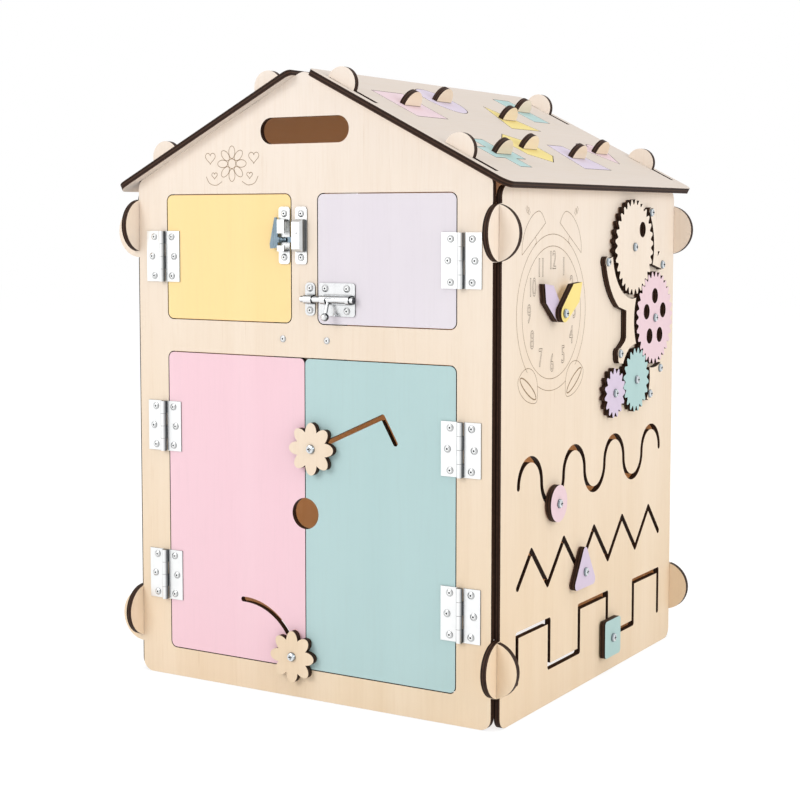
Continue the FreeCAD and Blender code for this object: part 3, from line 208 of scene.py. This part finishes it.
def sorter_board(paint, roof_top):
    """Painted plywood base under a grip of bare wood, which stands on edge across the slope."""
    material = plywood("birch_plywood_" + paint, SLOPE, "y", PAINT[paint])
    tree = material.node_tree
    shader = tree.nodes["Principled BSDF"]
    painted = shader.inputs["Base Color"].links[0].from_socket
    figure = mottle(tree, GRIP_FIGURE_SIZE, GRAIN_RUN["y"])
    bare = laid_over(tree, linear("#F4E6D2"), linear("#E9D5B8"), figure, 0.3, 0.7)
    grip = laid_over(tree, burnt_edge(tree, DOWN_SLOPE), bare, squareness(tree, DOWN_SLOPE), *EDGE_TO_FACE)
    # The bare wood starts 0.2 mm above the roof, and the paint ends over the next 0.4 mm
    foot = roof_top + 0.2 * MM
    finish = laid_over(tree, painted, grip, along_axis(tree, "Object", SLOPE), foot, foot + 0.4 * MM)
    tree.links.new(finish, shader.inputs["Base Color"])
    return material


# Metal

# Cloudy patches of the plating, in millimetres
CLOUD_SIZE = 11.1111
# Rolling lines are finer on real sheet, and are drawn 1.4 mm apart so that they show
ROLLED_SIZE = 1.42857
ROLLED_RUN = (1, 1, 0.04)
# Torn grains of a broken mandrel
TORN_SIZE = 0.666667
# Painted shade darkens the metal this close to a corner
CORNER_SHADE_REACH = 1.8


def pressed_metal(name, tones, roughness, side_shade, way=FRONT_WAY, turned=(0.35, 0.93), corner_shade="#5E5F60"):
    """Pressed sheet metal or a pressed head: pale and softly cloudy where it looks along its way, with
    painted shade where it is rolled or bent away, fine rolling lines, and painted shade in its corners."""
    material, tree, shader = new_material(name, roughness, 1.0)
    rolled = mottle(tree, ROLLED_SIZE, ROLLED_RUN, 2.0)
    corners = node(tree, "ShaderNodeAmbientOcclusion", {"Distance": CORNER_SHADE_REACH * MM}, samples=8)
    shade = laid_over(tree, linear(tones[0]), linear(tones[1]), mottle(tree, CLOUD_SIZE), 0.35, 0.70, 0.35)
    # Painted shade and reflection: the metal turns darker where it turns away from its way
    shade = laid_over(tree, linear(side_shade), shade, squareness(tree, way), *turned)
    # Painted shade in corners and creases, from ambient occlusion
    shade = laid_over(tree, linear(corner_shade), shade, corners.outputs["AO"], 0.30, 0.95)
    tree.links.new(shade, shader.inputs["Base Color"])
    gloss = node(tree, "ShaderNodeMapRange", {"Value": rolled, "From Min": 0.3, "From Max": 0.7,
                                              "To Min": roughness - 0.05, "To Max": roughness + 0.08})
    tree.links.new(gloss.outputs[0], shader.inputs["Roughness"])
    bump = node(tree, "ShaderNodeBump", {"Height": rolled, "Strength": 0.10, "Distance": 0.0001})
    tree.links.new(bump.outputs[0], shader.inputs["Normal"])
    return material


def mandrel_metal():
    """Broken steel mandrel end in a rivet: rough, with paler torn grains, and painted as dark as the shade in
    the rivet's hole.
    """
    material, tree, shader = new_material("mandrel_steel_and_hole_shade", 0.5, 1.0)
    torn = mottle(tree, TORN_SIZE, detail=2.0)
    shade = laid_over(tree, linear("#1E1E1F"), linear("#4A4A4B"), torn, 0.35, 0.65)
    tree.links.new(shade, shader.inputs["Base Color"])
    return material


# Swells of the scorch along an engraved line, in millimetres
SCORCH_SIZE = 3.33333


def burnt_line():
    """Shallow laser engraving: thin matt brown line with soft, uneven scorch."""
    material, tree, shader = new_material("laser_engraved_line", 0.8)
    shade = laid_over(tree, linear("#7C6346"), linear("#A08462"), mottle(tree, SCORCH_SIZE), 0.3, 0.7)
    tree.links.new(shade, shader.inputs["Base Color"])
    return material


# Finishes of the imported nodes


def dress(material, *names):
    """Puts one material on whole nodes."""
    for name in names:
        item = NODES[name]
        item.data.materials.clear()
        item.data.materials.append(material)


FRONT_BOARD = ("front", FRONT_WAY, "z")
SIDE_BOARD = ("side", SIDE_WAY, "z")
SLOPE_BOARD = ("slope", SLOPE, "y")
dress(board(*FRONT_BOARD), "front_panel", "back_panel", "door_stop", "flower_low", "flower_up")
dress(board(*FRONT_BOARD, "yellow"), "window_yellow")
dress(board(*FRONT_BOARD, "lilac"), "window_lilac")
dress(board(*FRONT_BOARD, "pink"), "door_pink")
dress(board(*FRONT_BOARD, "teal"), "door_teal")
dress(board(*SIDE_BOARD), "left_panel", "right_panel", "gear_cream", "guard_top", "guard_left", "guard_low")
dress(board(*SIDE_BOARD, "gear_pink"), "gear_pink", "slider_disc")
dress(board(*SIDE_BOARD, "gear_teal"), "gear_teal", "slider_square")
dress(board(*SIDE_BOARD, "gear_lilac"), "gear_lilac", "hand_hour", "slider_triangle")
dress(board(*SIDE_BOARD, "bright_yellow"), "hand_minute")
dress(board(*SLOPE_BOARD, **SHADED_ROOF_TONES), "roof_right", "sorter_backing")
dress(board("slope_left", SLOPE_LEFT, "y", **SHADED_ROOF_TONES), "roof_left")
roof_top = max(Vector(SLOPE).dot(v.co) for v in NODES["roof_right"].data.vertices)
dress(sorter_board("sorter_pink", roof_top), "sorter_square", "sorter_heart")
dress(sorter_board("sorter_lilac", roof_top), "sorter_disc", "sorter_trapezium")
dress(sorter_board("sorter_yellow", roof_top), "sorter_triangle", "sorter_hexagon")
dress(sorter_board("sorter_teal", roof_top), "sorter_bar", "sorter_cross")

# Zinced steel: pale with a soft sheen on the hinges, smoother and glossier on the bolt
dress(pressed_metal("bright_zinced_steel", ("#F3F4F4", "#E2E4E5"), 0.34, "#6E7173"),
      "hinge_frame_leaves", "hinge_leaf_yellow", "hinge_leaf_lilac", "hinge_leaves_pink",
      "hinge_leaves_teal", "hinge_pins", "latch_plate", "latch_keeper")
dress(pressed_metal("bright_zinced_bolt_steel", ("#ECEDEE", "#D5D8DA"), 0.22, "#4C5052"),
      "bolt_plate", "bolt_keeper", "bolt_rod")
# Aluminium rivets: pale in the middle of the head, with painted shade round its sloping rim
RIVET_ROWS = {"rivets_frame": "house", "rivets_yellow": "yellow_window", "rivets_pink": "pink_door",
              "rivets_lilac": "lilac_window", "rivets_teal": "teal_door"}
dress(pressed_metal("aluminium_rivet", ("#F0F1F1", "#DADCDD"), 0.28, "#3A3C3E", turned=(0.70, 0.99),
                    corner_shade="#2C2E30"), *RIVET_ROWS)
# Zinced screws look bluer and darker than the hinges
SCREW_TONES = ("#DCE1E4", "#B4BEC5")
dress(pressed_metal("zinced_screw_steel", SCREW_TONES, 0.22, "#7B858C", SIDE_WAY, corner_shade="#2E3438"),
      "wall_screws", "wall_nuts", "wall_washers", "slider_disc_screw", "slider_triangle_screw",
      "slider_square_screw")
dress(pressed_metal("zinced_flower_screw_steel", SCREW_TONES, 0.22, "#7B858C", corner_shade="#2E3438"),
      "flower_low_screw", "flower_up_screw")
# Blued steel: dark blue grey with a sharp sheen
dress(pressed_metal("blued_lever_steel", ("#8597A3", "#5F727F"), 0.26, "#2C3A44", corner_shade="#26323A"),
      "latch_tongue")


# Broken mandrels in the rivets


def place_mesh(name, mesh, material, body):
    """One object that rides on a body."""
    item = bpy.data.objects.new(name, mesh)
    item.data.materials.append(material)
    bpy.context.collection.objects.link(item)
    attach(item, body)


def piece(name, build, material, body):
    """Turns a mesh that was being built into an object that rides on a body."""
    build.normal_update()
    mesh = bpy.data.meshes.new(name)
    build.to_mesh(mesh)
    build.free()
    place_mesh(name, mesh, material, body)


def islands(item):
    """Corner points of each loose solid of a node."""
    mesh = item.data
    parent = list(range(len(mesh.vertices)))

    def root(i):
        while parent[i] != i:
            parent[i] = parent[parent[i]]
            i = parent[i]
        return i

    for edge in mesh.edges:
        parent[root(edge.vertices[0])] = root(edge.vertices[1])
    groups = {}
    for vertex in mesh.vertices:
        groups.setdefault(root(vertex.index), []).append(vertex.co)
    return list(groups.values())


# Short stub, narrower in front. Its middle lies 0.3 mm behind the rivet's face, so its front stands
# 0.05 mm proud of that face and shows as a dark spot: the mandrel, with the painted shade of the rivet's hole
MANDREL_RADIUS = 1.3 * MM
MANDREL_TIP = 0.6
MANDREL_LENGTH = 0.7 * MM
MANDREL_SUNK = 0.3 * MM
mandrel = mandrel_metal()
for rivet_node, body in RIVET_ROWS.items():
    ends = bmesh.new()
    for corners in islands(NODES[rivet_node]):
        low = [min(c[i] for c in corners) for i in range(3)]
        high = [max(c[i] for c in corners) for i in range(3)]
        spot = Vector(((low[0] + high[0]) / 2, low[1] + MANDREL_SUNK, (low[2] + high[2]) / 2))
        turn = Matrix.Translation(spot) @ Matrix.Rotation(math.pi / 2, 4, "X")
        bmesh.ops.create_cone(ends, cap_ends=True, segments=16, radius1=MANDREL_RADIUS,
                              radius2=MANDREL_RADIUS * MANDREL_TIP, depth=MANDREL_LENGTH, matrix=turn)
    piece("mandrels_" + body, ends, mandrel, body)


# Burnt lines on the walls

# Middles of the clock on the right wall and of the daisy on the gable, in millimetres
CLOCK_Y, CLOCK_Z = -98.5, 372.0
DAISY_X, DAISY_Z = -84.0, 512.0
LINE_WIDTH = 0.55
# The lines lie this far proud of the wall, so that they show
PROUD = 0.06


def smooth_line(points, closed, steps=8):
    """Rounded line through a few points, with a few steps from each to the next."""
    count = len(points)
    line = []
    for i in range(count if closed else count - 1):
        near = [i + k for k in (-1, 0, 1, 2)]
        picks = [points[k % count] if closed else points[min(max(k, 0), count - 1)] for k in near]
        for s in range(steps):
            t = s / steps
            line.append(tuple(0.5 * (2 * b + (c - a) * t + (2 * a - 5 * b + 4 * c - d) * t * t
                                     + (3 * b - a - 3 * c + d) * t ** 3) for a, b, c, d in zip(*picks)))
    return line if closed else line + [points[-1]]


def circle(radius, centre=(0.0, 0.0), start=0, end=360, squash=1.0, turn=0.0, steps=72):
    """Points of a circle, an arc or a tilted oval."""
    full = abs(end - start) == 360
    tilt = math.radians(turn)
    line = []
    for i in range(steps + (0 if full else 1)):
        angle = math.radians(start + (end - start) * i / steps)
        u, v = radius * math.cos(angle), radius * squash * math.sin(angle)
        line.append((centre[0] + u * math.cos(tilt) - v * math.sin(tilt),
                     centre[1] + u * math.sin(tilt) + v * math.cos(tilt)))
    return line


def heart(size, u, v):
    """Plain heart outline."""
    line = []
    for i in range(40):
        t = math.tau * i / 40
        rise = 13 * math.cos(t) - 5 * math.cos(2 * t) - 2 * math.cos(3 * t) - math.cos(4 * t)
        line.append((u + size * math.sin(t) ** 3, v + size * rise / 16))
    return line


def mirrored(line):
    """The same line on the other side of the middle."""
    return [(-u, v) for u, v in line]


def on_clock(u, v):
    """A point of the right wall, from its place about the clock's centre."""
    return Vector((RIGHT + PROUD, CLOCK_Y + u, CLOCK_Z + v)) * MM


def on_gable(u, v):
    """A point of the gable, from its place about the middle of the little daisy."""
    return Vector((DAISY_X + u, FRONT - PROUD, DAISY_Z + v)) * MM


def ribbon(build, at, line, closed, width=LINE_WIDTH):
    """Flat burnt line on a wall."""
    count = len(line)
    rims = []
    for i, (u, v) in enumerate(line):
        before = line[i - 1] if closed or i else line[i]
        after = line[(i + 1) % count] if closed or i < count - 1 else line[i]
        run = Vector((after[0] - before[0], after[1] - before[1])).normalized()
        off = Vector((-run[1], run[0])) * width / 2
        rims.append([build.verts.new(at(u + s * off[0], v + s * off[1])) for s in (1, -1)])
    for i in range(count if closed else count - 1):
        a, b = rims[i], rims[(i + 1) % count]
        build.faces.new((a[0], a[1], b[1], b[0]))


# Alarm clock on the right wall: its points are millimetres from the clock's centre

INNER_RING, OUTER_RING = 62.0, 73.0
BELL_TOP, BELL_FOOT = (15.2, 83.4), (62.6, 54.6)
BELL_BACK = [BELL_TOP, (22.0, 91.2), (30.0, 94.2), (43.0, 89.6), (55.5, 78.4), (62.0, 65.0), BELL_FOOT]
BELL_MIDDLE = (38.9, 69.0)
BELL_STEM = [(36.0, 70.5), (33.6, 66.0), (37.6, 62.6)]
PEG = [(47.0, 92.6), (50.0, 97.6), (52.2, 95.4), (49.2, 90.6)]
PEG_SHIFTS = ((0.0, 0.0), (3.4, 1.36))
FOOT = [(30.0, -66.0), (34.5, -56.0), (43.0, -50.0), (54.0, -49.0), (63.5, -53.0), (69.5, -60.0),
        (65.0, -70.0), (52.0, -78.5), (37.0, -82.0), (30.5, -79.0)]
SOLE = circle(19.0, (49.0, -67.5), squash=0.24, turn=33, steps=48)
SOLE_WIDTH = 2.2 * LINE_WIDTH

clock = bmesh.new()
ribbon(clock, on_clock, circle(INNER_RING), True)
# The outer ring breaks off where the feet cover it
ribbon(clock, on_clock, circle(OUTER_RING, start=-46, end=226), False)
ribbon(clock, on_clock, circle(OUTER_RING, start=246, end=294), False)
for half in (list, mirrored):
    ribbon(clock, on_clock, half(smooth_line(BELL_BACK, False)), False)
    ribbon(clock, on_clock, half([BELL_TOP, BELL_MIDDLE, BELL_FOOT]), False)
    ribbon(clock, on_clock, half(BELL_STEM), False)
    for across, up in PEG_SHIFTS:
        ribbon(clock, on_clock, half([(u + across, v + up) for u, v in PEG]), True)
    ribbon(clock, on_clock, half(smooth_line(FOOT, True)), True)
    ribbon(clock, on_clock, half(SOLE), True, SOLE_WIDTH)
engraved = burnt_line()
piece("clock_engraving", clock, engraved, "house")


# Plain daisy with hearts on the gable

DAISY_EYE, DAISY_RING, DAISY_PETAL, PETAL_SQUASH = 4.6, 11.0, 6.0, 0.6
TENDRIL = ((12, -17), (19, -20.5), (27, -18.5), (31, -12))

daisy = bmesh.new()
ribbon(daisy, on_gable, circle(DAISY_EYE, steps=32), True)
for turn in range(0, 360, 45):
    middle = (DAISY_RING * math.cos(math.radians(turn)), DAISY_RING * math.sin(math.radians(turn)))
    ribbon(daisy, on_gable, circle(DAISY_PETAL, middle, squash=PETAL_SQUASH, turn=turn, steps=32), True)
for way in (1, -1):
    ribbon(daisy, on_gable, heart(6.0, way * 26.0, 6.0), True)
    ribbon(daisy, on_gable, heart(3.4, way * 21.0, -11.0), True)
    ribbon(daisy, on_gable, smooth_line([(way * u, v) for u, v in TENDRIL], False), False)
piece("gable_engraving", daisy, engraved, "house")


# Numbers of the dial, with their sizes in millimetres

NUMBER_HEIGHT = 24.0
NUMBER_LINE = 0.27
NUMBER_RING = 48.0
# Widths and letter spaces are drawn in, as the numbers are tall and narrow
NUMBER_NARROW = 0.66
NUMBER_SPACE = 0.92


def numeral(text, angle):
    """Tall narrow outlined number of the dial, upright, pressed flat onto the wall."""
    curve = bpy.data.curves.new("dial_number_" + text, "FONT")
    curve.body = text
    curve.align_x, curve.align_y = "CENTER", "CENTER"
    curve.size = NUMBER_HEIGHT * MM
    curve.fill_mode = "NONE"
    curve.bevel_depth = NUMBER_LINE * MM
    curve.bevel_resolution = 0
    curve.resolution_u = 4
    curve.space_character = NUMBER_SPACE
    source = bpy.data.objects.new("dial_number_" + text, curve)
    mesh = bpy.data.meshes.new_from_object(source)
    bpy.data.objects.remove(source)
    across = NUMBER_RING * math.cos(math.radians(angle))
    up = NUMBER_RING * math.sin(math.radians(angle))
    for vertex in mesh.vertices:
        vertex.co = on_clock(vertex.co.x / MM * NUMBER_NARROW + across, vertex.co.y / MM + up)
    place_mesh("dial_number_" + text, mesh, engraved, "house")


for hour in range(1, 13):
    numeral(str(hour), 90 - 30 * hour)


# Studio

FLOOR_SIZE = 14.0
FLOOR_DROP = 0.5 * MM
ROOM_LIGHT = 0.66
# The paper's own glow where it is seen. The lamps add the rest of its white, and a shadow takes it away
PAPER_GLOW = 0.80


def seen_rays(tree):
    """1 for rays from the camera, from metal or through glass."""
    path = node(tree, "ShaderNodeLightPath")
    from_camera, from_gloss = path.outputs["Is Camera Ray"], path.outputs["Is Glossy Ray"]
    through_glass = path.outputs["Is Transmission Ray"]
    either = node(tree, "ShaderNodeMath", {0: from_camera, 1: from_gloss}, operation="MAXIMUM").outputs[0]
    return node(tree, "ShaderNodeMath", {0: either, 1: through_glass}, operation="MAXIMUM").outputs[0]


def paper(name):
    """White studio paper: plain white where it is seen, and it keeps a soft shadow."""
    material, tree, shader = new_material(name, 0.9)
    shader.inputs["Base Color"].default_value = linear("#F4F4F4")
    shader.inputs["Specular IOR Level"].default_value = 0.0
    glow = node(tree, "ShaderNodeEmission", {"Color": linear("#FFFFFF"), "Strength": PAPER_GLOW})
    matt = node(tree, "ShaderNodeBsdfDiffuse", {"Color": linear("#959595")})
    shown = node(tree, "ShaderNodeAddShader", {0: glow.outputs[0], 1: matt.outputs[0]})
    sheet = node(tree, "ShaderNodeMixShader", {0: seen_rays(tree), 1: shader.outputs[0], 2: shown.outputs[0]})
    tree.links.new(sheet.outputs[0], tree.nodes["Material Output"].inputs["Surface"])
    return material


bpy.ops.mesh.primitive_plane_add(size=FLOOR_SIZE, location=(0, 0, -FLOOR_DROP))
floor = bpy.context.object
floor.name = "studio_floor"
floor.data.materials.append(paper("white_studio_paper"))

world = bpy.data.worlds.new("white_room")
bpy.context.scene.world = world
world.use_nodes = True
sky_tree = world.node_tree
sky_tree.nodes.clear()
room = node(sky_tree, "ShaderNodeBackground", {"Color": linear("#FFFFFF"), "Strength": ROOM_LIGHT})
sky = node(sky_tree, "ShaderNodeBackground", {"Color": linear("#FFFFFF"), "Strength": 1.0})
both = node(sky_tree, "ShaderNodeMixShader", {0: seen_rays(sky_tree), 1: room.outputs[0], 2: sky.outputs[0]})
node(sky_tree, "ShaderNodeOutputWorld", {"Surface": both.outputs[0]})


def lamp(name, kind, place, power):
    """One lamp in its place."""
    light = bpy.data.lights.new(name, kind)
    light.energy = power
    item = bpy.data.objects.new(name, light)
    item.location = place
    bpy.context.collection.objects.link(item)
    return item


# Soft boxes, turned to the middle of the house: place in metres, width in metres and power in watts
LAMP_AIM = Vector((0, 0, 0.3))
SOFT_BOXES = (("soft_box_front", (-1.2, -2.6, 1.6), 1.6, 32.0),
              ("soft_box_right", (2.8, -0.4, 1.3), 1.4, 25.5),
              ("soft_box_top", (0.2, 0.2, 2.8), 1.6, 14.0))
for name, place, width, power in SOFT_BOXES:
    soft_box = lamp(name, "AREA", place, power)
    soft_box.data.size = width
    soft_box.rotation_euler = (LAMP_AIM - Vector(place)).to_track_quat("-Z", "Y").to_euler()

# Weak warm light inside, for what comes in through the slots and off the bare wood
inner = lamp("light_through_the_wood", "POINT", (0.0, 0.0, 0.22), 0.33)
inner.data.shadow_soft_size = 0.08
inner.data.color = linear("#FFC48C")[:3]

# Pinhole camera that was fitted to corners of the house in the photograph, in pixels of its frame
FRAME_PX = 800
FOCAL_PX = 1657.76
MIDDLE_PX = (392.17, 350.06)
SENSOR = 36.0
YAW, TILT = math.radians(31.386), math.radians(4.540)
camera_data = bpy.data.cameras.new("studio_camera")
camera_data.sensor_width = SENSOR
camera_data.lens = FOCAL_PX / FRAME_PX * SENSOR
camera_data.shift_x = (FRAME_PX / 2 - MIDDLE_PX[0]) / FRAME_PX
camera_data.shift_y = -(FRAME_PX / 2 - MIDDLE_PX[1]) / FRAME_PX
camera_data.clip_end = 50.0
camera = bpy.data.objects.new("studio_camera", camera_data)
camera.location = (0.8832, -1.4953, 0.4595)
camera.rotation_euler = (math.pi / 2 - TILT, 0.0, YAW)
bpy.context.collection.objects.link(camera)
bpy.context.scene.camera = camera
bpy.context.scene.view_settings.view_transform = "Standard"
